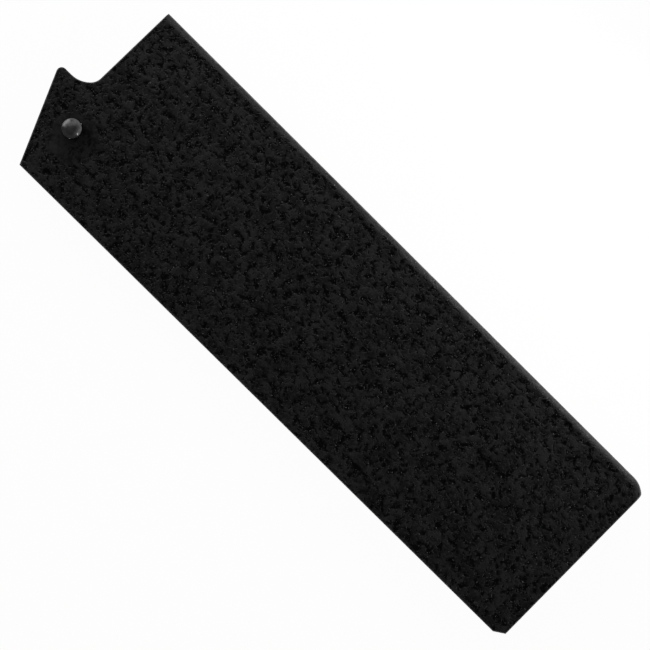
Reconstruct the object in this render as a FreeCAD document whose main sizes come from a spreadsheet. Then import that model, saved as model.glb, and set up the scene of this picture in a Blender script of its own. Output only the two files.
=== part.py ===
import FreeCAD
import Part
import math
import os
import Sketcher

doc = FreeCAD.newDocument("BladeGuard")

# Driving sizes in millimetres and degrees
driving = [
    ("body_length", 181.2, "cutting edge side, heel corner to tip end"),
    ("heel_width", 57.0, "edge to spine at the handle end"),
    ("tip_width", 56.0, "edge to spine at the tip end"),
    ("panel_thickness", 3.75, "each outer board"),
    ("slot_thickness", 4.5, "spacers, and so the blade slot"),
    ("edge_strip_width", 5.0, "spacer along the cutting edge"),
    ("spine_strip_width", 3.5, "spacer along the spine"),
    ("tip_strip_width", 8.0, "spacer across the tip end"),
    ("tip_cut_run", 2.9, "cut corner at the tip, along the edge"),
    ("tip_cut_rise", 1.9, "cut corner at the tip, up the end"),
    ("spine_corner_radius", 6.7, "rounded corner of spine and tip end"),
    ("spine_corner_turn", 46.0, "angle the rounded corner turns through"),
    ("neck_lean", 1.6, "lean of the side where the handle leaves"),
    ("notch_neck_radius", 4.0, "notch curve next to the neck"),
    ("notch_lug_radius", 7.5, "notch curve next to the lug"),
    ("notch_turn", 45.0, "angle the curve next to the neck turns"),
    ("lug_height", 27.0, "edge to the top of the lug"),
    ("lug_land", 2.2, "flat on top of the lug"),
    ("lug_tip_radius", 1.45, "rounded tip of the lug"),
    ("spine_round", 2.0, "round-over along the outer spine edges"),
    ("edge_break", 0.3, "sanded break on the other outer edges"),
    ("hole_rim", 0.2, "rounded rims of the pin holes"),
    ("pin_from_heel", 3.25, "pin axis to heel corner, along the edge"),
    ("pin_above_edge", 16.8, "pin axis to the cutting edge side"),
    ("pin_diameter", 5.4, "pin where it leaves the front face"),
    ("pin_taper", 1.0, "slope of the pin's side to its axis"),
    ("pin_clearance", 0.08, "radial gap between pin and holes"),
    ("pin_proud", 2.8, "pin above the front face"),
    ("pin_dome", 1.0, "height of the pin's domed end"),
    ("pin_rim", 0.2, "rounding between dome and side"),
    ("pin_recess", 0.5, "pin's small end inside the back face"),
    ("pin_break", 0.5, "rounded rim of the pin's small end"),
]

size = {}
sheet = doc.addObject("Spreadsheet::Sheet", "Sizes")
for row, (name, value, note) in enumerate(driving, start=1):
    sheet.set(f"A{row}", name)
    sheet.set(f"B{row}", str(value))
    sheet.setAlias(f"B{row}", name)
    sheet.set(f"C{row}", note)
    size[name] = value
doc.recompute()

# Sizes that follow from the driving ones
full_thickness = "(2 * Sizes.panel_thickness + Sizes.slot_thickness)"
spine_fall = "((Sizes.heel_width - Sizes.tip_width) / Sizes.body_length)"
spine_slope = math.atan((size["heel_width"] - size["tip_width"]) / size["body_length"])
thickness = 2 * size["panel_thickness"] + size["slot_thickness"]


def point(x, y, z=0.0):
    return FreeCAD.Vector(x, y, z)


def polar(centre, radius, angle):
    return point(centre.x + radius * math.cos(angle), centre.y + radius * math.sin(angle))


def line(start, end):
    return Part.LineSegment(start, end)


def arc(centre, radius, start, end):
    return Part.ArcOfCircle(Part.Circle(centre, point(0, 0, 1), radius), start, end)


# A body counts from the heel corner of its outline and is set into the part's frame,
# whose origin is the middle of the back face
def start_body(label, height):
    body = doc.addObject("PartDesign::Body", label)
    body.Label = label
    body.setExpression("Placement.Base.x", "-Sizes.body_length / 2")
    body.setExpression("Placement.Base.y", "-Sizes.heel_width / 2")
    body.setExpression("Placement.Base.z", height)
    return body


def add_sketch(body, name, role="XY_Plane"):
    sketch = body.newObject("Sketcher::SketchObject", f"{body.Name}_{name}")
    plane = [item for item in body.Origin.OriginFeatures if item.Role == role][0]
    sketch.AttachmentSupport = [(plane, "")]
    sketch.MapMode = "FlatFace"
    return sketch


def join(sketch, *constraints):
    for constraint in constraints:
        sketch.addConstraint(Sketcher.Constraint(*constraint))


# One dimension of a sketch, tied to the sheet
def bind(sketch, name, expression, *constraint):
    index = sketch.addConstraint(Sketcher.Constraint(*constraint))
    sketch.renameConstraint(index, name)
    sketch.setExpression(f"Constraints.{name}", expression)


# Arcs of the outline as centre, radius, start and end angle
def corner_arc():
    radius = size["spine_corner_radius"]
    high = math.pi / 2 - spine_slope
    low = high - math.radians(size["spine_corner_turn"])
    centre_x = size["body_length"] - radius * math.cos(low)
    touch_x = centre_x + radius * math.cos(high)
    touch_y = size["heel_width"] - math.tan(spine_slope) * touch_x
    return point(centre_x, touch_y - radius * math.sin(high)), radius, low, high


def notch_arcs():
    near = size["notch_neck_radius"]
    far = size["notch_lug_radius"]
    lean = math.radians(size["neck_lean"])
    turned = lean + math.radians(size["notch_turn"])
    rise = far * (1 - math.sin(turned)) + near * (math.sin(turned) - math.sin(lean))
    neck_y = size["lug_height"] + rise
    neck_x = -math.tan(lean) * (size["heel_width"] - neck_y)
    near_centre = point(neck_x - near * math.cos(lean), neck_y + near * math.sin(lean))
    far_centre = polar(near_centre, near - far, -turned)
    return (near_centre, near, -turned, -lean), (far_centre, far, -math.pi / 2, -turned)


def lug_arc(land_end):
    radius = size["lug_tip_radius"]
    centre = point(land_end.x, land_end.y - radius)
    heading = math.atan2(centre.y, centre.x) + math.asin(radius / centre.Length)
    return centre, radius, math.pi / 2, heading + math.pi / 2


# The outline of every layer before its tip end is sawn off: the rounded corner runs straight
# on past the tip end
def draw_outline(body):
    corner_shape = corner_arc()
    near_shape, far_shape = notch_arcs()
    corner_low, corner_high = [polar(*corner_shape[:2], angle) for angle in corner_shape[2:]]
    spare = size["spine_corner_radius"]
    heel = point(0, 0)
    stock_low = point(size["body_length"] + spare, 0)
    stock_high = point(stock_low.x, corner_low.y - spare / math.tan(corner_shape[2]))
    shoulder = point(0, size["heel_width"])
    land_start = point(far_shape[0].x, size["lug_height"])
    land_end = point(land_start.x - size["lug_land"], size["lug_height"])
    lug_shape = lug_arc(land_end)
    neck_end = polar(*near_shape[:2], near_shape[3])
    side_top = polar(*lug_shape[:2], lug_shape[3])

    sketch = add_sketch(body, "outline")
    edge = sketch.addGeometry(line(heel, stock_low))
    stock = sketch.addGeometry(line(stock_low, stock_high))
    run_on = sketch.addGeometry(line(stock_high, corner_low))
    corner = sketch.addGeometry(arc(*corner_shape))
    spine = sketch.addGeometry(line(corner_high, shoulder))
    neck = sketch.addGeometry(line(shoulder, neck_end))
    near = sketch.addGeometry(arc(*near_shape))
    far = sketch.addGeometry(arc(*far_shape))
    land = sketch.addGeometry(line(land_start, land_end))
    lug = sketch.addGeometry(arc(*lug_shape))
    side = sketch.addGeometry(line(side_top, heel))
    join(
        sketch,
        ("Coincident", edge, 1, -1, 1),
        ("Coincident", edge, 2, stock, 1),
        ("Coincident", stock, 2, run_on, 1),
        ("Tangent", run_on, 2, corner, 1),
        ("Tangent", corner, 2, spine, 1),
        ("Coincident", spine, 2, neck, 1),
        ("Tangent", neck, 2, near, 2),
        ("Tangent", near, 1, far, 2),
        ("Tangent", far, 1, land, 1),
        ("Tangent", land, 2, lug, 1),
        ("Tangent", lug, 2, side, 1),
        ("Coincident", side, 2, edge, 1),
        ("Horizontal", edge),
        ("Vertical", stock),
        ("Horizontal", land),
        ("PointOnObject", spine, 2, -2),
    )
    lean = math.radians(size["neck_lean"])
    corner_turn = math.radians(size["spine_corner_turn"])
    near_turn = math.radians(size["notch_turn"])
    bind(sketch, "length", "Sizes.body_length", "DistanceX", -1, 1, corner, 1, size["body_length"])
    bind(sketch, "spare", "Sizes.spine_corner_radius", "DistanceX", corner, 1, stock, 2, spare)
    bind(sketch, "width", "Sizes.heel_width", "DistanceY", -1, 1, spine, 2, shoulder.y)
    bind(sketch, "spine_angle", f"180 deg - atan({spine_fall})", "Angle", spine, math.pi - spine_slope)
    bind(sketch, "corner_radius", "Sizes.spine_corner_radius", "Radius", corner, corner_shape[1])
    bind(sketch, "corner_turn", "Sizes.spine_corner_turn * 1 deg", "Angle", corner, corner_turn)
    bind(sketch, "neck_angle", "-90 deg - Sizes.neck_lean * 1 deg", "Angle", neck, -math.pi / 2 - lean)
    bind(sketch, "near_radius", "Sizes.notch_neck_radius", "Radius", near, near_shape[1])
    bind(sketch, "near_turn", "Sizes.notch_turn * 1 deg", "Angle", near, near_turn)
    bind(sketch, "far_radius", "Sizes.notch_lug_radius", "Radius", far, far_shape[1])
    bind(sketch, "lug_top", "Sizes.lug_height", "DistanceY", -1, 1, land, 1, land_start.y)
    bind(sketch, "land_length", "Sizes.lug_land", "DistanceX", land, 2, land, 1, size["lug_land"])
    bind(sketch, "lug_radius", "Sizes.lug_tip_radius", "Radius", lug, lug_shape[1])
    return sketch


def pad_outline(body, depth):
    pad = body.newObject("PartDesign::Pad", f"{body.Name}_board")
    pad.Profile = draw_outline(body)
    pad.setExpression("Length", depth)
    doc.recompute()


# Ties one corner of a sketch to a place counted from the sketch's origin
def place_corner(sketch, name, geometry, x_rule, y_rule):
    for axis, (expression, value) in (("X", x_rule), ("Y", y_rule)):
        ends = (-1, 1, geometry, 1)
        if value < 0:
            ends = (geometry, 1, -1, 1)
            expression = f"-({expression})"
        bind(sketch, f"{name}_{axis.lower()}", expression, f"Distance{axis}", *ends, abs(value))


def draw_loop(sketch, name, corners):
    spots = [point(x_rule[1], y_rule[1]) for x_rule, y_rule in corners]
    count = len(spots)
    lines = [sketch.addGeometry(line(spots[i], spots[(i + 1) % count])) for i in range(count)]
    for i in range(count):
        join(sketch, ("Coincident", lines[i], 2, lines[(i + 1) % count], 1))
        place_corner(sketch, f"{name}_{i}", lines[i], *corners[i])


def cut_away(body, name, sketch, depth):
    before = body.Tip.Shape.Volume
    pocket = body.newObject("PartDesign::Pocket", f"{body.Name}_{name}")
    pocket.Profile = sketch
    pocket.Reversed = True
    pocket.setExpression("Length", depth)
    doc.recompute()
    assert pocket.Shape.Volume < before
    return pocket


# Saws the tip end square, with its cut corner at the edge
def saw_tip(body, depth):
    length = ("Sizes.body_length", size["body_length"])
    beyond = ("Sizes.body_length + 2 * Sizes.heel_width", size["body_length"] + 2 * size["heel_width"])
    cut_start = ("Sizes.body_length - 2 * Sizes.tip_cut_run", size["body_length"] - 2 * size["tip_cut_run"])
    below = ("-Sizes.tip_cut_rise", -size["tip_cut_rise"])
    cut_end = ("Sizes.tip_cut_rise", size["tip_cut_rise"])
    above = ("2 * Sizes.heel_width", 2 * size["heel_width"])
    sketch = add_sketch(body, "tip_waste")
    corners = [(cut_start, below), (beyond, below), (beyond, above), (length, above), (length, cut_end)]
    draw_loop(sketch, "waste", corners)
    cut_away(body, "tip_saw", sketch, depth)


def edge_near(shape, place):
    gaps = [edge.distToShape(Part.Vertex(place))[0] for edge in shape.Edges]
    return f"Edge{gaps.index(min(gaps)) + 1}"


# Rounds or breaks the edges that pass closest to the given places
def dress_edges(body, name, kind, dimension, expression, places):
    base = body.Tip
    dressing = body.newObject(f"PartDesign::{kind}", f"{body.Name}_{name}")
    dressing.Base = (base, [edge_near(base.Shape, place) for place in places])
    dressing.setExpression(dimension, expression)
    doc.recompute()


# Taper-reamed hole, widening towards the front face
def bore_pin_hole(body, depth_below_front):
    narrowing = f"2 * tan(Sizes.pin_taper * 1 deg) * {depth_below_front}"
    across = f"Sizes.pin_diameter + 2 * Sizes.pin_clearance - {narrowing}"
    centre = point(size["pin_from_heel"], size["pin_above_edge"])
    sketch = add_sketch(body, "hole")
    hole = sketch.addGeometry(Part.Circle(centre, point(0, 0, 1), size["pin_diameter"] / 2))
    bind(sketch, "from_heel", "Sizes.pin_from_heel", "DistanceX", -1, 1, hole, 3, centre.x)
    bind(sketch, "above_edge", "Sizes.pin_above_edge", "DistanceY", -1, 1, hole, 3, centre.y)
    bind(sketch, "across", across, "Diameter", hole, size["pin_diameter"])
    bore = cut_away(body, "bore", sketch, "Sizes.panel_thickness")
    bore.setExpression("TaperAngle", "Sizes.pin_taper * 1 deg")
    doc.recompute()


# An outer board, whose spine edge is well rounded and whose other outer edges are only broken
def make_panel(label, height, outer, depth_below_front):
    body = start_body(label, height)
    pad_outline(body, "Sizes.panel_thickness")
    bore_pin_hole(body, depth_below_front)
    length = size["body_length"]
    near_shape = notch_arcs()[0]
    corner_shape = corner_arc()
    rim = point(size["pin_from_heel"], size["pin_above_edge"] + size["pin_diameter"] / 2, outer)
    edge_middle = point(length / 2, 0, outer)
    cut_middle = point(length - size["tip_cut_run"] / 2, size["tip_cut_rise"] / 2, outer)
    end_middle = point(length, size["tip_width"] / 2, outer)
    notch_middle = polar(*near_shape[:2], (near_shape[2] + near_shape[3]) / 2)
    notch_middle.z = outer
    spine_middle = point(length / 2, (size["heel_width"] + size["tip_width"]) / 2, outer)
    corner_middle = polar(*corner_shape[:2], (corner_shape[2] + corner_shape[3]) / 2)
    corner_middle.z = outer
    dress_edges(body, "hole_rim", "Fillet", "Radius", "Sizes.hole_rim", [rim])
    dress_edges(body, "edge_break", "Chamfer", "Size", "Sizes.edge_break", [edge_middle, notch_middle])
    dress_edges(body, "spine_round", "Fillet", "Radius", "Sizes.spine_round", [spine_middle, corner_middle])
    saw_tip(body, "Sizes.panel_thickness")
    dress_edges(body, "tip_break", "Chamfer", "Size", "Sizes.edge_break", [cut_middle, end_middle])
    return body


# Heights along the sawn line between the slot and the spine strip
def spine_saw(x_rule):
    expression = f"Sizes.heel_width - Sizes.spine_strip_width - {spine_fall} * ({x_rule[0]})"
    value = size["heel_width"] - size["spine_strip_width"] - math.tan(spine_slope) * x_rule[1]
    return expression, value


# A spacer is a board of the common outline, sawn down to the part inside the given corners
def make_strip(label, corners):
    body = start_body(label, "Sizes.panel_thickness")
    pad_outline(body, "Sizes.slot_thickness")
    saw_tip(body, "Sizes.slot_thickness")
    corner = polar(*corner_arc()[:3])
    corner.z = size["slot_thickness"] / 2
    dress_edges(body, "corner_break", "Chamfer", "Size", "Sizes.edge_break", [corner])
    width = size["heel_width"]
    length = size["body_length"]
    west = ("-Sizes.heel_width", -width)
    east = ("Sizes.body_length + Sizes.heel_width", length + width)
    south = ("-Sizes.heel_width", -width)
    north = ("2 * Sizes.heel_width", 2 * width)
    sketch = add_sketch(body, "waste")
    draw_loop(sketch, "board", [(west, south), (east, south), (east, north), (west, north)])
    draw_loop(sketch, "strip", corners)
    cut_away(body, "saw", sketch, "Sizes.slot_thickness")
    return body


# The tapered pin, turned about its own axis, small end at the back
def make_pin(label):
    body = doc.addObject("PartDesign::Body", label)
    body.Label = label
    body.setExpression("Placement.Base.x", "Sizes.pin_from_heel - Sizes.body_length / 2")
    body.setExpression("Placement.Base.y", "Sizes.pin_above_edge - Sizes.heel_width / 2")
    slope = math.radians(size["pin_taper"])
    radius = size["pin_diameter"] / 2
    low = size["pin_recess"]
    top = thickness + size["pin_proud"]
    brow = top - size["pin_dome"]
    low_radius = radius - math.tan(slope) * (thickness - low)
    brow_radius = radius + math.tan(slope) * (brow - thickness)
    dome_radius = (brow_radius**2 + size["pin_dome"] ** 2) / (2 * size["pin_dome"])
    dome_centre = point(0, top - dome_radius)
    start = math.atan2(brow - dome_centre.y, brow_radius)

    sketch = add_sketch(body, "profile", "XZ_Plane")
    foot = sketch.addGeometry(line(point(0, low), point(low_radius, low)))
    side = sketch.addGeometry(line(point(low_radius, low), point(brow_radius, brow)))
    dome = sketch.addGeometry(arc(dome_centre, dome_radius, start, math.pi / 2))
    axis = sketch.addGeometry(line(point(0, top), point(0, low)))
    join(
        sketch,
        ("Coincident", foot, 2, side, 1),
        ("Coincident", side, 2, dome, 1),
        ("Coincident", dome, 2, axis, 1),
        ("Coincident", axis, 2, foot, 1),
        ("PointOnObject", foot, 1, -2),
        ("PointOnObject", dome, 2, -2),
        ("PointOnObject", dome, 3, -2),
        ("Horizontal", foot),
    )
    drop = f"tan(Sizes.pin_taper * 1 deg) * ({full_thickness} - Sizes.pin_recess)"
    foot_rule = f"Sizes.pin_diameter / 2 - {drop}"
    brow_rule = f"{full_thickness} + Sizes.pin_proud - Sizes.pin_dome"
    bind(sketch, "recess", "Sizes.pin_recess", "DistanceY", -1, 1, foot, 1, low)
    bind(sketch, "foot_radius", foot_rule, "DistanceX", foot, 1, foot, 2, low_radius)
    bind(sketch, "slope", "90 deg - Sizes.pin_taper * 1 deg", "Angle", side, math.pi / 2 - slope)
    bind(sketch, "brow", brow_rule, "DistanceY", -1, 1, side, 2, brow)
    bind(sketch, "top", f"{full_thickness} + Sizes.pin_proud", "DistanceY", -1, 1, dome, 2, top)
    turned = body.newObject("PartDesign::Revolution", f"{label}_turned")
    turned.Profile = sketch
    turned.ReferenceAxis = (sketch, ["V_Axis"])
    turned.Angle = 360
    doc.recompute()
    dress_edges(body, "rim", "Fillet", "Radius", "Sizes.pin_rim", [point(0, brow_radius, brow)])
    dress_edges(body, "break", "Fillet", "Radius", "Sizes.pin_break", [point(0, low_radius, low)])
    return body


# Corners of the strips, each beyond the outline where the strip ends at it
slot_floor = ("Sizes.edge_strip_width", size["edge_strip_width"])
slot_end = ("Sizes.body_length - Sizes.tip_strip_width", size["body_length"] - size["tip_strip_width"])
past_heel = ("-Sizes.heel_width / 2", -size["heel_width"] / 2)
past_tip = ("Sizes.body_length + Sizes.heel_width / 2", size["body_length"] + size["heel_width"] / 2)
past_edge = ("-Sizes.heel_width / 2", -size["heel_width"] / 2)
past_spine = ("1.5 * Sizes.heel_width", 1.5 * size["heel_width"])
edge_corners = [
    (past_heel, past_edge),
    (past_tip, past_edge),
    (past_tip, slot_floor),
    (past_heel, slot_floor),
]
spine_corners = [
    (past_heel, spine_saw(past_heel)),
    (past_tip, spine_saw(past_tip)),
    (past_tip, past_spine),
    (past_heel, past_spine),
]
tip_corners = [
    (slot_end, slot_floor),
    (past_tip, slot_floor),
    (past_tip, spine_saw(past_tip)),
    (slot_end, spine_saw(slot_end)),
]

front_height = "Sizes.panel_thickness + Sizes.slot_thickness"
pieces = [
    make_panel("front_panel", front_height, size["panel_thickness"], "Sizes.panel_thickness"),
    make_panel("back_panel", "0", 0.0, full_thickness),
    make_strip("edge_strip", edge_corners),
    make_strip("spine_strip", spine_corners),
    make_strip("tip_strip", tip_corners),
    make_pin("locking_pin"),
]
doc.recompute()

for item in doc.Objects:
    if "Invalid" in item.State or "Error" in item.State:
        raise RuntimeError(f"{item.Name} did not build")
for piece in pieces:
    if piece.Shape.isNull() or not piece.Shape.isValid() or len(piece.Shape.Solids) != 1:
        raise RuntimeError(f"{piece.Label} is not one sound solid")

os.makedirs("parts", exist_ok=True)
for piece in pieces:
    piece.Shape.exportStep(f"parts/{piece.Label}.step")
    box = piece.Shape.optimalBoundingBox()
    across = f"{box.XLength:.2f} x {box.YLength:.2f} x {box.ZLength:.2f}"
    print(f"{piece.Label}: {across} mm, {piece.Shape.Volume:.0f} mm3")
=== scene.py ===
import math
import random

import bmesh
import bpy
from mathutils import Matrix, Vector, geometry, kdtree


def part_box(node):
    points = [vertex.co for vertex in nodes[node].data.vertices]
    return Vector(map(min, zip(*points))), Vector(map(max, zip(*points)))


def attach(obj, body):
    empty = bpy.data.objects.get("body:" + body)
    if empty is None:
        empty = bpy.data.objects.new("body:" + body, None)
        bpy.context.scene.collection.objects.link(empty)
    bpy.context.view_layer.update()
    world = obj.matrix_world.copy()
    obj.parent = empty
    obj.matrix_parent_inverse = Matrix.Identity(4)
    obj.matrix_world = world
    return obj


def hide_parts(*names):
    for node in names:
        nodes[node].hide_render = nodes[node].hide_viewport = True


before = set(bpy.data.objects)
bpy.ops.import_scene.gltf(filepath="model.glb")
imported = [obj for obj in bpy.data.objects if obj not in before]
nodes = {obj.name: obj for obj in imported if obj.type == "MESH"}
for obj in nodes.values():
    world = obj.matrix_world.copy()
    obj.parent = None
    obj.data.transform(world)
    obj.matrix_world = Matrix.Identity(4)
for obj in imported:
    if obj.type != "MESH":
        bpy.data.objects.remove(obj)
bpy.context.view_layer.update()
scene = bpy.context.scene
scene.view_settings.view_transform = "Standard"
print("frame:", sorted(nodes))

perMetre = 1000  # the object's own sizes are in mm
weldGap = 1e-7  # metres between points that are one and the same
noiseMiddle = 0.5


def boxOf(node):  # lowest and highest corner in mm
    return [Vector(corner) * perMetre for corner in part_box(node)]


boardLow, boardHigh = boxOf("front_panel")
frontFace = boardHigh.z
middlePlane = frontFace / 2
slotBottom = boxOf("back_panel")[1].z
slotTop = boardLow.z
slotEdgeSide = boxOf("edge_strip")[1].y
slotTipEnd = boxOf("tip_strip")[0].x
pinLow, pinHigh = boxOf("locking_pin")
pinAxis = Vector(((pinLow.x + pinHigh.x) / 2, (pinLow.y + pinHigh.y) / 2, 0))


def addNode(tree, kind, inputs=None, **settings):
    node = tree.nodes.new(kind)
    for key, value in settings.items():
        setattr(node, key, value)
    for key, value in (inputs or {}).items():
        if isinstance(value, bpy.types.NodeSocket):
            tree.links.new(value, node.inputs[key])
        else:
            node.inputs[key].default_value = value
    return node


def calc(tree, operation, first, second=None, third=None, clamp=False):
    given = {0: first, 1: second, 2: third}
    inputs = {key: value for key, value in given.items() if value is not None}
    return addNode(tree, "ShaderNodeMath", inputs, operation=operation, use_clamp=clamp).outputs[0]


def ramp(tree, value, low, high, start=0.0, end=1.0, shape="SMOOTHSTEP"):  # start at low, end at high
    inputs = {"Value": value, "From Min": low, "From Max": high, "To Min": start, "To Max": end}
    return addNode(tree, "ShaderNodeMapRange", inputs, interpolation_type=shape).outputs[0]


def mixColor(tree, mask, first, second):
    return addNode(tree, "ShaderNodeMix", {0: mask, 6: first, 7: second}, data_type="RGBA").outputs[2]


def scaled(tree, place, factors):
    inputs = {0: place, 1: factors}
    return addNode(tree, "ShaderNodeVectorMath", inputs, operation="MULTIPLY").outputs[0]


def inMillimetres(tree, metres):
    return scaled(tree, metres, (perMetre, perMetre, perMetre))


def objectPlace(tree):  # mm, the same on every piece
    return inMillimetres(tree, addNode(tree, "ShaderNodeTexCoord").outputs["Object"])


def noise(tree, place, size, detail, rough=0.5, distort=0.0):  # size in mm
    scale = calc(tree, "DIVIDE", 1.0, size) if isinstance(size, bpy.types.NodeSocket) else 1.0 / size
    inputs = {"Vector": place, "Scale": scale, "Detail": detail, "Roughness": rough, "Distortion": distort}
    return addNode(tree, "ShaderNodeTexNoise", inputs, noise_dimensions="3D").outputs[0]


def under(tree, value, level, width):  # 1 well below the level, 0 well above it
    low = calc(tree, "SUBTRACT", level, width)
    high = calc(tree, "ADD", level, width)
    return ramp(tree, value, low, high, 1.0, 0.0)


def fromPinAxis(tree, place, shift=(0, 0, 0)):
    inputs = {0: scaled(tree, place, (1, 1, 0)), 1: pinAxis + Vector(shift)}
    return addNode(tree, "ShaderNodeVectorMath", inputs, operation="DISTANCE").outputs["Value"]


def fromMiddlePlane(tree, place):
    level = addNode(tree, "ShaderNodeSeparateXYZ", {0: place}).outputs[2]
    return calc(tree, "ABSOLUTE", calc(tree, "SUBTRACT", level, middlePlane))


def newGroup(name, numbers, results):  # takes a place in mm and numbers, gives numbers
    group = bpy.data.node_groups.new(name, "ShaderNodeTree")
    group.interface.new_socket("Place", in_out="INPUT", socket_type="NodeSocketVector")
    for label in numbers:
        group.interface.new_socket(label, in_out="INPUT", socket_type="NodeSocketFloat")
    for label in results:
        group.interface.new_socket(label, in_out="OUTPUT", socket_type="NodeSocketFloat")
    return group, group.nodes.new("NodeGroupInput").outputs, group.nodes.new("NodeGroupOutput").inputs


stoneLook = {  # sizes in mm, the others are levels of a noise or shares
    "pitEdge": 0.12,
    "fineEdge": 0.08,
    "fineShare": 0.8,
    "glintSize": 0.4,
    "glintRange": (0.74, 0.81),
    "glintReach": 0.06,  # painted glints: highlights painted on the rims of the pits
    "slowSize": 6.0,
    "grainSize": 0.55,
    "grainShare": 0.45,
    "mottleSize": 1.5,
    "mottleShare": 0.9,
    "drawnDepth": 0.15,
    "grainHeight": 0.03,
    "calmShift": (2.0, -1.6, 0),  # from the pin's axis to the middle of the calm zone
    "calmFade": (1.5, 3.5),
    "calmShare": 0.85,  # how far the pits fade there
    "driftSize": 2.2,
    "drift": 5.0,
    "poolShift": (4.0, -1.75, 0),  # from the pin's axis to where the lacquer has run smooth
    "poolReach": (2.2, 7.0),
}


def pitField(tree, place, size):  # the lacquer sinks where this is low
    return noise(tree, place, size, detail=2.0, rough=0.6, distort=0.4)


def awakeShare(tree, place, radius, look):  # fewer pits beside the pin, with a ragged limit
    drift = noise(tree, place, look["driftSize"], detail=2.0)
    ragged = calc(tree, "MULTIPLY_ADD", drift, look["drift"], fromPinAxis(tree, place, look["calmShift"]))
    near, far = (calc(tree, "ADD", radius, reach) for reach in look["calmFade"])
    calm = ramp(tree, ragged, near, far, look["calmShare"], 0.0)
    return calc(tree, "SUBTRACT", 1.0, calm, clamp=True)


# stone-like relief of the lacquer: pits, small pits, glints painted as highlights on the pit rims, slow
# shade
def makeStoneGroup(look):
    numbers = ["Pit Size", "Pit Level", "Fine Size", "Fine Level", "Calm Radius", "Carved From"]
    tree, given, result = newGroup("stoneRelief", numbers, ["Pits", "Glints", "Shade", "Smooth", "Height"])
    place = given["Place"]
    awake = awakeShare(tree, place, given["Calm Radius"], look)
    large = pitField(tree, place, given["Pit Size"])
    small = noise(tree, place, given["Fine Size"], detail=1.0, distort=0.4)
    largePits = calc(tree, "MULTIPLY", under(tree, large, given["Pit Level"], look["pitEdge"]), awake)
    fineDips = under(tree, small, given["Fine Level"], look["fineEdge"])
    smallPits = calc(tree, "MULTIPLY", calc(tree, "MULTIPLY", fineDips, look["fineShare"]), awake)
    glintSpots = ramp(tree, noise(tree, place, look["glintSize"], detail=0.0), *look["glintRange"])
    rimLevel = calc(tree, "ADD", given["Pit Level"], look["glintReach"])
    pitRims = under(tree, large, rimLevel, look["glintReach"])
    slow = noise(tree, place, look["slowSize"], detail=2.0, distort=0.2)
    grain = noise(tree, place, look["grainSize"], detail=1.0, rough=0.6)
    mottle = noise(tree, place, look["mottleSize"], detail=2.0, rough=0.6, distort=0.3)
    shade = slow
    for field, share in ((grain, look["grainShare"]), (mottle, look["mottleShare"])):
        shade = calc(tree, "MULTIPLY_ADD", calc(tree, "SUBTRACT", field, noiseMiddle), share, shade)
    carved = calc(tree, "GREATER_THAN", fromMiddlePlane(tree, place), given["Carved From"])
    uncut = calc(tree, "SUBTRACT", 1.0, carved)
    drawn = calc(tree, "MULTIPLY", largePits, uncut)  # elsewhere the mesh has them
    sunk = calc(tree, "MAXIMUM", drawn, smallPits)
    grainRise = calc(tree, "MULTIPLY", grain, look["grainHeight"])
    made = {
        "Pits": calc(tree, "MAXIMUM", largePits, smallPits),
        "Glints": calc(tree, "MULTIPLY", glintSpots, calc(tree, "MULTIPLY", pitRims, awake)),
        "Shade": shade,
        "Smooth": ramp(tree, fromPinAxis(tree, place, look["poolShift"]), *look["poolReach"], 1.0, 0.0),
        "Height": calc(tree, "MULTIPLY_ADD", sunk, -look["drawnDepth"], grainRise),
    }
    for label, value in made.items():
        tree.links.new(value, result[label])
    return tree


slotLook = {  # mm
    "slack": 0.03,
    "spineSide": 24.52,  # at the middle of the length
    "spineFall": 1 / 181.2,  # 1 mm over the length of the body
    "lugTop": -2.0,
    "lugReach": 10.4,  # of the heel lug past the heel's corner
    "notch": (-2.2, 2.5),  # where the outline steps back to the neck
    "notchStep": 9.4,
    "wanderSize": 2.9,
    "wander": 2.0,
    "lacquerFade": 1.6,
    "holeRun": (3.6, 5.0),  # from the pin's axis: lacquer that ran through the holes
    "grainSize": 1.1,
    "grainStretch": (0.05, 1.0, 1.0),
}


# bare wood inside the slot, past the overspray at the mouth
def makeSlotGroup(look):
    tree, given, result = newGroup("slotInside", ["Overspray"], ["Bare", "Grain"])
    place = given["Place"]
    x, y, z = addNode(tree, "ShaderNodeSeparateXYZ", {0: place}).outputs
    heelEnd = -boardHigh.x
    lug = ramp(tree, y, boardLow.y, look["lugTop"], 0.0, look["lugReach"], shape="LINEAR")
    neck = ramp(tree, y, *look["notch"], heelEnd, heelEnd + look["notchStep"])
    mouth = calc(tree, "SUBTRACT", neck, lug)  # outline at the handle end
    wander = noise(tree, place, look["wanderSize"], detail=3.0)
    depth = calc(tree, "MULTIPLY_ADD", wander, -look["wander"], calc(tree, "SUBTRACT", x, mouth))
    fadeEnd = calc(tree, "ADD", given["Overspray"], look["lacquerFade"])
    bare = ramp(tree, depth, given["Overspray"], fadeEnd)
    spineSide = calc(tree, "MULTIPLY_ADD", x, -look["spineFall"], look["spineSide"])
    limits = [
        calc(tree, "GREATER_THAN", z, slotBottom - look["slack"]),
        calc(tree, "LESS_THAN", z, slotTop + look["slack"]),
        calc(tree, "GREATER_THAN", y, slotEdgeSide - look["slack"]),
        calc(tree, "LESS_THAN", y, spineSide),
        calc(tree, "LESS_THAN", x, slotTipEnd + look["slack"]),
        ramp(tree, fromPinAxis(tree, place), *look["holeRun"]),
    ]
    for limit in limits:
        bare = calc(tree, "MULTIPLY", bare, limit)
    along = scaled(tree, place, look["grainStretch"])
    tree.links.new(bare, result["Bare"])
    tree.links.new(noise(tree, along, look["grainSize"], detail=5.0, distort=0.8), result["Grain"])
    return tree


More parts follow.
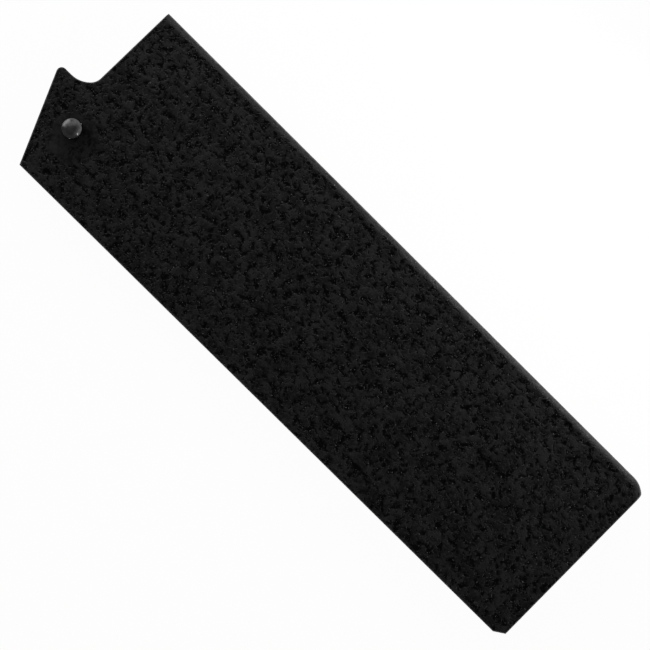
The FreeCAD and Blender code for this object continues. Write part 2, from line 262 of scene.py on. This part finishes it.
# hairline where the lacquer has sunk over the glue joints
def makeGlueGroup():
    tree, given, result = newGroup("glueLine", ["Width"], ["Line"])
    jointAt = (slotTop - slotBottom) / 2
    height = fromMiddlePlane(tree, given["Place"])
    fromJoint = calc(tree, "ABSOLUTE", calc(tree, "SUBTRACT", height, jointAt))
    tree.links.new(ramp(tree, fromJoint, 0.0, given["Width"], 1.0, 0.0), result["Line"])
    return tree


stoneRelief = makeStoneGroup(stoneLook)
slotInside = makeSlotGroup(slotLook)
glueLine = makeGlueGroup()
print("shared node groups:", stoneRelief.name, slotInside.name, glueLine.name)


def newMaterial(name):
    material = bpy.data.materials.new(name)
    material.use_nodes = True
    tree = material.node_tree
    return material, tree, tree.nodes["Principled BSDF"]


def addBump(tree, shader, height, strength):  # height in mm
    inputs = {"Height": height, "Strength": strength, "Distance": 1 / perMetre}
    tree.links.new(addNode(tree, "ShaderNodeBump", inputs).outputs[0], shader.inputs["Normal"])


# black stone-textured lacquer outside, pale bare wood inside the slot
def makeLacquer(name, look):
    material, tree, shader = newMaterial(name)
    place = objectPlace(tree)
    stoneInputs = {
        "Place": place,
        "Pit Size": look["pitSize"],
        "Pit Level": look["pitLevel"],
        "Fine Size": look["fineSize"],
        "Fine Level": look["fineLevel"],
        "Calm Radius": look["calmRadius"],
        "Carved From": look["carvedFrom"],
    }
    stone = addNode(tree, "ShaderNodeGroup", stoneInputs, node_tree=stoneRelief).outputs
    slotInputs = {"Place": place, "Overspray": look["overspray"]}
    slot = addNode(tree, "ShaderNodeGroup", slotInputs, node_tree=slotInside).outputs
    glueInputs = {"Place": place, "Width": look["jointWidth"]}
    joint = addNode(tree, "ShaderNodeGroup", glueInputs, node_tree=glueLine).outputs["Line"]

    shade = ramp(tree, stone["Shade"], *look["shadeRange"])
    flat = mixColor(tree, shade, look["flatDark"], look["flatLight"])
    # the pits are real recesses; their colour darker than the flats is painted shade
    pitShaded = mixColor(tree, stone["Pits"], flat, look["pitShadeColor"])
    # glints: painted highlights, a bright colour laid on the pit rims
    lacquer = mixColor(tree, stone["Glints"], pitShaded, look["glintColor"])
    grain = ramp(tree, slot["Grain"], *look["grainRange"])
    wood = mixColor(tree, grain, look["woodDark"], look["woodLight"])
    tree.links.new(mixColor(tree, slot["Bare"], lacquer, wood), shader.inputs["Base Color"])

    flatRough = ramp(tree, stone["Smooth"], 0.0, 1.0, look["flatRough"], look["smoothRough"])
    coatRough = ramp(tree, stone["Pits"], 0.0, 1.0, flatRough, look["pitRough"])
    woodRough = ramp(tree, slot["Grain"], *look["grainRange"], *look["woodRough"])
    tree.links.new(ramp(tree, slot["Bare"], 0.0, 1.0, coatRough, woodRough), shader.inputs["Roughness"])
    shader.inputs["Specular IOR Level"].default_value = look["gloss"]

    woodHeight = calc(tree, "MULTIPLY", slot["Grain"], look["woodRelief"])
    coatHeight = calc(tree, "MULTIPLY_ADD", joint, -look["jointDepth"], stone["Height"])
    coated = calc(tree, "SUBTRACT", 1.0, slot["Bare"])
    bareHeight = calc(tree, "MULTIPLY", woodHeight, slot["Bare"])
    addBump(tree, shader, calc(tree, "MULTIPLY_ADD", coatHeight, coated, bareHeight), look["bump"])
    return material


boardLook = {
    "pitSize": 2.0,  # mm
    "pitLevel": 0.46,
    "fineSize": 0.8,  # mm
    "fineLevel": 0.39,
    "calmRadius": 6.6,  # mm beside the pin
    "carvedFrom": 5.75,  # mm from the middle plane to where the mesh has the pits
    "pitDepth": 0.12,  # mm
    "overspray": 1.2,  # mm of lacquer inside the mouth
    "jointWidth": 0.16,  # mm
    "jointDepth": 0.05,  # mm
    "shadeRange": (0.34, 0.66),
    "flatDark": (0.0012, 0.0012, 0.0012, 1),
    "flatLight": (0.0142, 0.0142, 0.0142, 1),
    # painted shade: dark colour of the pits
    "pitShadeColor": (0.0008, 0.0008, 0.0008, 1),
    # painted highlight: bright colour of the glints on the pit rims
    "glintColor": (0.11, 0.11, 0.11, 1),
    "grainRange": (0.35, 0.65),
    "woodDark": (0.33, 0.22, 0.12, 1),
    "woodLight": (0.52, 0.39, 0.25, 1),
    "flatRough": 0.46,
    "smoothRough": 0.25,
    "pitRough": 0.19,
    "woodRough": (0.62, 0.78),
    "woodRelief": 0.06,  # mm
    "gloss": 0.37,
    "bump": 0.5,
    "meshStep": 0.5,  # mm between points of the carved faces
    "rowRise": 0.866,  # steps between rows of points
    "scatter": 0.15,  # steps that a point may stray
    "rimGap": 0.6,  # steps kept free beside the rim
    "cutSnap": 0.1,  # steps within which a cut takes a point as its own
    "cutWeld": 0.002,  # steps
    "holeShare": 0.98,  # of the hole's radius, kept free of faces
    "runOut": (0.1, 0.7),  # mm from the outline and the hole over which the pits set in
    "sharpAngle": 25.0,  # degrees
    "pointSeed": 7,
}


# pits of the lacquer cut into the fine faces; the same field colours them darker as painted shade
def makePitTree(look, inward):
    tree = bpy.data.node_groups.new("cutPits", "GeometryNodeTree")
    tree.interface.new_socket("Geometry", in_out="INPUT", socket_type="NodeSocketGeometry")
    tree.interface.new_socket("Geometry", in_out="OUTPUT", socket_type="NodeSocketGeometry")
    shape = tree.nodes.new("NodeGroupInput").outputs[0]
    place = inMillimetres(tree, addNode(tree, "GeometryNodeInputPosition").outputs[0])
    pits = under(tree, pitField(tree, place, look["pitSize"]), look["pitLevel"], stoneLook["pitEdge"])
    awake = awakeShare(tree, place, look["calmRadius"], stoneLook)
    named = addNode(tree, "GeometryNodeInputNamedAttribute", {"Name": "carve"}, data_type="FLOAT")
    share = calc(tree, "MULTIPLY", calc(tree, "MULTIPLY", pits, awake), named.outputs["Attribute"])
    sink = calc(tree, "MULTIPLY", share, inward * look["pitDepth"] / perMetre)
    offset = addNode(tree, "ShaderNodeCombineXYZ", {"Z": sink}).outputs[0]
    moved = addNode(tree, "GeometryNodeSetPosition", {"Geometry": shape, "Offset": offset}).outputs[0]
    tree.links.new(moved, tree.nodes.new("NodeGroupOutput").inputs[0])
    return tree


def onLevel(element, level):
    return all(abs(vertex.co.z - level) < weldGap for vertex in element.verts)


# crosswise cuts, so that no edge of the rim is longer than a step
def sliceSides(mesh, look, low, high, step):
    snap = step * look["cutSnap"]
    for axis in (0, 1):
        count = math.ceil((high[axis] - low[axis]) / step)
        across = Vector((axis == 0, axis == 1, 0))
        for number in range(1, count):
            start = Vector(low).lerp(Vector(high), number / count)
            everything = mesh.verts[:] + mesh.edges[:] + mesh.faces[:]
            bmesh.ops.bisect_plane(mesh, geom=everything, dist=snap, plane_co=start, plane_no=across)


# sides and inner face from the CAD mesh; the outer face is left open
def openBoard(node, look, outer, inner, step):
    mesh = bmesh.new()
    mesh.from_mesh(nodes[node].data)
    mesh.verts.layers.float.new("carve")
    bmesh.ops.remove_doubles(mesh, verts=mesh.verts[:], dist=weldGap)
    for edge in mesh.edges:
        edge.smooth = edge.calc_face_angle(0) < math.radians(look["sharpAngle"])
    flats = [face for face in mesh.faces if onLevel(face, outer) or onLevel(face, inner)]
    bmesh.ops.delete(mesh, geom=flats, context="FACES")
    sliceSides(mesh, look, *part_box(node), step)
    bmesh.ops.remove_doubles(mesh, verts=mesh.verts[:], dist=step * look["cutWeld"])
    seam = [edge for edge in mesh.edges if edge.is_boundary and onLevel(edge, inner)]
    bmesh.ops.triangle_fill(mesh, use_beauty=True, edges=seam)
    return mesh


# rows of points over the outer face, each strayed a little, clear of the rim
def facePoints(look, low, high, step, near):
    draw = random.Random(look["pointSeed"])
    stray = look["scatter"]
    points = []
    for row in range(math.ceil((high[1] - low[1]) / (step * look["rowRise"]))):
        for column in range(math.ceil((high[0] - low[0]) / step)):
            x = low[0] + (column + row % 2 / 2 + draw.uniform(-stray, stray)) * step
            y = low[1] + (row * look["rowRise"] + draw.uniform(-stray, stray)) * step
            if near.find((x, y, 0))[2] > step * look["rimGap"]:
                points.append(Vector((x, y)))
    return points


# fine outer face inside the open rim; carve grows from 0 at the rim to 1
def closeBoard(mesh, node, look, outer, step):
    rim = [vertex for vertex in mesh.verts if vertex.is_boundary]
    order = {vertex: number for number, vertex in enumerate(rim)}
    outline = [[order[vertex] for vertex in edge.verts] for edge in mesh.edges if edge.is_boundary]
    near = kdtree.KDTree(len(rim))
    for vertex, number in order.items():
        near.insert((vertex.co.x, vertex.co.y, 0), number)
    near.balance()
    points = [vertex.co.xy for vertex in rim] + facePoints(look, *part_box(node), step, near)
    insideOnly = 1  # no triangles past the outline
    found = geometry.delaunay_2d_cdt(points, outline, [], insideOnly, weldGap / 100)
    spots, triangles, origins = found[0], found[2], found[3]

    carve = mesh.verts.layers.float["carve"]
    start, end = look["runOut"]
    corners = []
    for spot, origin in zip(spots, origins):
        if origin and origin[0] < len(rim):
            corners.append(rim[origin[0]])
            continue
        vertex = mesh.verts.new((spot.x, spot.y, outer))
        away = near.find((spot.x, spot.y, 0))[2] * perMetre
        share = min(max((away - start) / (end - start), 0), 1)
        vertex[carve] = share * share * (3 - 2 * share)  # smooth at both ends
        corners.append(vertex)

    axis = (pinAxis / perMetre).xy
    bore = min((vertex.co.xy - axis).length for vertex in rim)
    for triangle in triangles:
        middle = sum((spots[corner] for corner in triangle), Vector((0, 0))) / 3
        if (middle - axis).length > bore * look["holeShare"]:
            mesh.faces.new([corners[corner] for corner in triangle])
    loose = [vertex for vertex in mesh.verts if not vertex.link_faces]
    bmesh.ops.delete(mesh, geom=loose, context="VERTS")


def newPiece(name, mesh):  # object from a bmesh, shaded smooth
    bmesh.ops.recalc_face_normals(mesh, faces=mesh.faces[:])
    for face in mesh.faces:
        face.smooth = True
    piece = bpy.data.objects.new(name, bpy.data.meshes.new(name))
    mesh.to_mesh(piece.data)
    mesh.free()
    scene.collection.objects.link(piece)
    return piece


def carveBoard(name, node, look, material):
    low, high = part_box(node)
    isFront = low[2] * perMetre > slotBottom
    outer, inner = (high[2], low[2]) if isFront else (low[2], high[2])
    step = look["meshStep"] / perMetre
    mesh = openBoard(node, look, outer, inner, step)
    closeBoard(mesh, node, look, outer, step)
    board = newPiece(name, mesh)
    board.modifiers.new("cutPits", "NODES").node_group = makePitTree(look, -1 if isFront else 1)
    shaped = board.evaluated_get(bpy.context.evaluated_depsgraph_get())
    carved = bpy.data.meshes.new_from_object(shaped)
    board.modifiers.clear()
    board.data = carved
    carved.attributes.remove(carved.attributes["carve"])
    carved.materials.clear()
    carved.materials.append(material)
    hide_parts(node)
    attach(board, "sheath")
    print("carved", name, len(carved.polygons), "faces")


boardLacquer = makeLacquer("boardLacquer", boardLook)
carveBoard("front_board", "front_panel", boardLook, boardLacquer)
carveBoard("back_board", "back_panel", boardLook, boardLacquer)

stripLook = dict(
    boardLook,
    carvedFrom=100.0,  # nowhere: all pits on the strips are drawn
    overspray=1.8,
    woodDark=(0.36, 0.25, 0.14, 1),
    woodLight=(0.5, 0.37, 0.23, 1),
)
stripLacquer = makeLacquer("stripLacquer", stripLook)
for node in ("edge_strip", "spine_strip", "tip_strip"):
    nodes[node].data.materials.clear()
    nodes[node].data.materials.append(stripLacquer)
print("lacquer on the boards and strips")


pinLook = {
    "faceDiameter": 5.4,  # mm where it leaves the front face
    "taper": 1.0,  # degrees off its axis
    "dome": 1.0,  # mm
    "rim": 0.2,  # mm
    "footBreak": 0.5,  # mm
    "sideStep": 0.6,  # mm between the rings of the side
    "arcStep": 3.0,  # degrees between the rings of the roundings
    "turnSteps": 144,
    "dark": (0.03, 0.03, 0.03, 1),
    "light": (0.04, 0.04, 0.04, 1),
    "cloudSize": 1.7,  # mm
    "toneRange": (0.35, 0.65),
    "roughRange": (0.3, 0.7),
    "smooth": 0.18,
    "dull": 0.28,
    "gloss": 0.85,
    "ringScale": 5.0,  # turning marks per mm
    "ringHeight": 0.01,  # mm
    "bump": 0.5,
}


def makePinGloss(look):
    material, tree, shader = newMaterial("pinGloss")
    place = objectPlace(tree)
    cloud = noise(tree, place, look["cloudSize"], detail=3.0)
    tone = mixColor(tree, ramp(tree, cloud, *look["toneRange"]), look["dark"], look["light"])
    tree.links.new(tone, shader.inputs["Base Color"])
    rough = ramp(tree, cloud, *look["roughRange"], look["smooth"], look["dull"])
    tree.links.new(rough, shader.inputs["Roughness"])
    shader.inputs["Specular IOR Level"].default_value = look["gloss"]
    ringInputs = {"W": fromPinAxis(tree, place), "Scale": look["ringScale"], "Detail": 2.0}
    rings = addNode(tree, "ShaderNodeTexNoise", ringInputs, noise_dimensions="1D").outputs[0]
    addBump(tree, shader, calc(tree, "MULTIPLY", rings, look["ringHeight"]), look["bump"])
    return material


# half section of the pin: rounded foot, tapered side, rounded rim, dome
def pinSection(look, bottom, top):
    slope = math.radians(look["taper"])
    up = Vector((math.sin(slope), math.cos(slope)))
    out = Vector((math.cos(slope), -math.sin(slope)))
    foot = Vector((look["faceDiameter"] / 2 - math.tan(slope) * (frontFace - bottom), bottom))
    brow = foot.x + math.tan(slope) * (top - look["dome"] - bottom)
    bow = (brow ** 2 + look["dome"] ** 2) / (2 * look["dome"])  # radius of the dome
    domeMiddle = Vector((0, top - bow))
    climb = look["footBreak"] * (1 - math.sin(slope)) / math.cos(slope)
    footMiddle = foot + up * climb - out * look["footBreak"]
    start = foot - out * look["rim"] - domeMiddle
    run = start.dot(up)
    reach = math.sqrt(run ** 2 - start.length_squared + (bow - look["rim"]) ** 2) - run
    rimMiddle = domeMiddle + start + up * reach  # touches side and dome from inside
    crest = math.atan2(rimMiddle.y - domeMiddle.y, rimMiddle.x)

    def arc(middle, radius, begin, end):
        count = math.ceil(math.degrees(end - begin) / look["arcStep"])
        angles = [begin + (end - begin) * number / count for number in range(count + 1)]
        return [middle + radius * Vector((math.cos(angle), math.sin(angle))) for angle in angles]

    lower = arc(footMiddle, look["footBreak"], -math.pi / 2, -slope)
    upper = arc(rimMiddle, look["rim"], -slope, crest)
    count = math.ceil((upper[0] - lower[-1]).length / look["sideStep"])
    side = [lower[-1].lerp(upper[0], number / count) for number in range(1, count)]
    dome = arc(domeMiddle, bow, crest, math.pi / 2)
    return [Vector((0, bottom))] + lower + side + upper + dome[1:]


def turnPin(name, node, look, material):
    section = pinSection(look, pinLow.z, pinHigh.z)
    widest = max(point.x for point in section)
    room = min(pinHigh.x - pinLow.x, pinHigh.y - pinLow.y) / 2
    fit = min(room / widest, 1)  # inside the CAD box
    axis = pinAxis / perMetre
    mesh = bmesh.new()
    line = []
    for point in section:
        line.append(mesh.verts.new((axis.x + point.x * fit / perMetre, axis.y, point.y / perMetre)))
    profile = line + [mesh.edges.new(pair) for pair in zip(line, line[1:])]
    turn = {"cent": axis, "axis": (0, 0, 1), "angle": math.tau, "steps": look["turnSteps"]}
    bmesh.ops.spin(mesh, geom=profile, **turn)
    bmesh.ops.remove_doubles(mesh, verts=mesh.verts[:], dist=weldGap)
    pin = newPiece(name, mesh)
    pin.data.materials.append(material)
    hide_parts(node)
    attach(pin, "pin")
    print("turned", name, len(pin.data.polygons), "faces")


turnPin("turned_pin", "locking_pin", pinLook, makePinGloss(pinLook))


# floor, lights and camera; the picture's upper left is -X, its upper right +Y
stageLook = {
    "floorSize": 6.0,  # metres
    "floorColor": (0.03, 0.03, 0.03, 1),
    "floorRough": 0.9,
    "floorGlow": 0.965,
    "surround": 0.035,
    "white": (1, 1, 1, 1),
}
bpy.ops.mesh.primitive_plane_add(size=stageLook["floorSize"], location=(0, 0, 0))
floor = bpy.context.object
floor.name = "floor"
paper, _, paperShader = newMaterial("paleFloor")
paperShader.inputs["Base Color"].default_value = stageLook["floorColor"]
paperShader.inputs["Roughness"].default_value = stageLook["floorRough"]
paperShader.inputs["Emission Color"].default_value = stageLook["white"]
paperShader.inputs["Emission Strength"].default_value = stageLook["floorGlow"]
floor.data.materials.append(paper)

world = bpy.data.worlds.new("studioRoom")
scene.world = world
world.use_nodes = True
background = world.node_tree.nodes["Background"]
background.inputs["Color"].default_value = stageLook["white"]
background.inputs["Strength"].default_value = stageLook["surround"]

softboxes = {  # aim along the board, heading and elevation in degrees, distance, width, height, radiance
    "handleSoftbox": (0, 180, 20, 0.8, 0.68, 0.3, 2.2),
    "handleSurround": (0, 178, 28, 0.95, 1.0, 0.5, 0.75),
    "spineSoftbox": (-0.19, 90, 22, 0.11, 0.42, 0.065, 0.9),
    "cornerSoftbox": (0.06, 90, 9, 0.11, 0.09, 0.045, 2.3),
    "cornerSurround": (0.06, 90, 38, 0.12, 0.09, 0.06, 0.9),
    "spineSurround": (0, 90, 46, 0.14, 0.36, 0.06, 0.25),
    "endSoftbox": (0, 16, 29, 0.8, 0.45, 0.45, 0.75),
    "upperSoftbox": (0, 146, 46, 0.5, 0.5, 0.28, 0.7),
    "tipSurround": (0, 8, 48, 0.8, 0.9, 0.5, 0.22),
    "tipLamp": (0, -3, 33, 0.8, 0.09, 0.09, 20.0),
    "edgeSoftbox": (0, 290, 26, 0.7, 1.2, 0.4, 0.1),
}


def addSoftbox(name, along, heading, elevation, distance, width, height, radiance):  # metres
    lamp = bpy.data.lights.new(name, "AREA")
    lamp.shape = "RECTANGLE"
    lamp.size = width
    lamp.size_y = height
    lamp.energy = radiance * math.pi * width * height
    softbox = bpy.data.objects.new(name, lamp)
    scene.collection.objects.link(softbox)
    turn = math.radians(heading)
    rise = math.radians(elevation)
    aim = Vector((math.cos(rise) * math.cos(turn), math.cos(rise) * math.sin(turn), math.sin(rise)))
    softbox.location = Vector((along, 0, frontFace / perMetre)) + aim * distance
    softbox.rotation_euler = aim.to_track_quat("Z", "Y").to_euler()
    softbox.visible_camera = False


for name, values in softboxes.items():
    addSoftbox(name, *values)

cameraLook = {  # metres, apart from the turn
    "middle": (-0.002055, -0.0016),  # under the picture's centre
    "turn": 44.58,  # degrees about the view axis
    "across": 0.1743,  # seen across at the front face
    "distance": 1.1,
    "farEnd": 20.0,
}
lens = bpy.data.cameras.new("camera")
lens.lens = lens.sensor_width * cameraLook["distance"] / cameraLook["across"]
lens.clip_end = cameraLook["farEnd"]
camera = bpy.data.objects.new("camera", lens)
scene.collection.objects.link(camera)
camera.location = (*cameraLook["middle"], frontFace / perMetre + cameraLook["distance"])
camera.rotation_euler = (0, 0, math.radians(cameraLook["turn"]))
scene.camera = camera
print("stage, lights and camera")
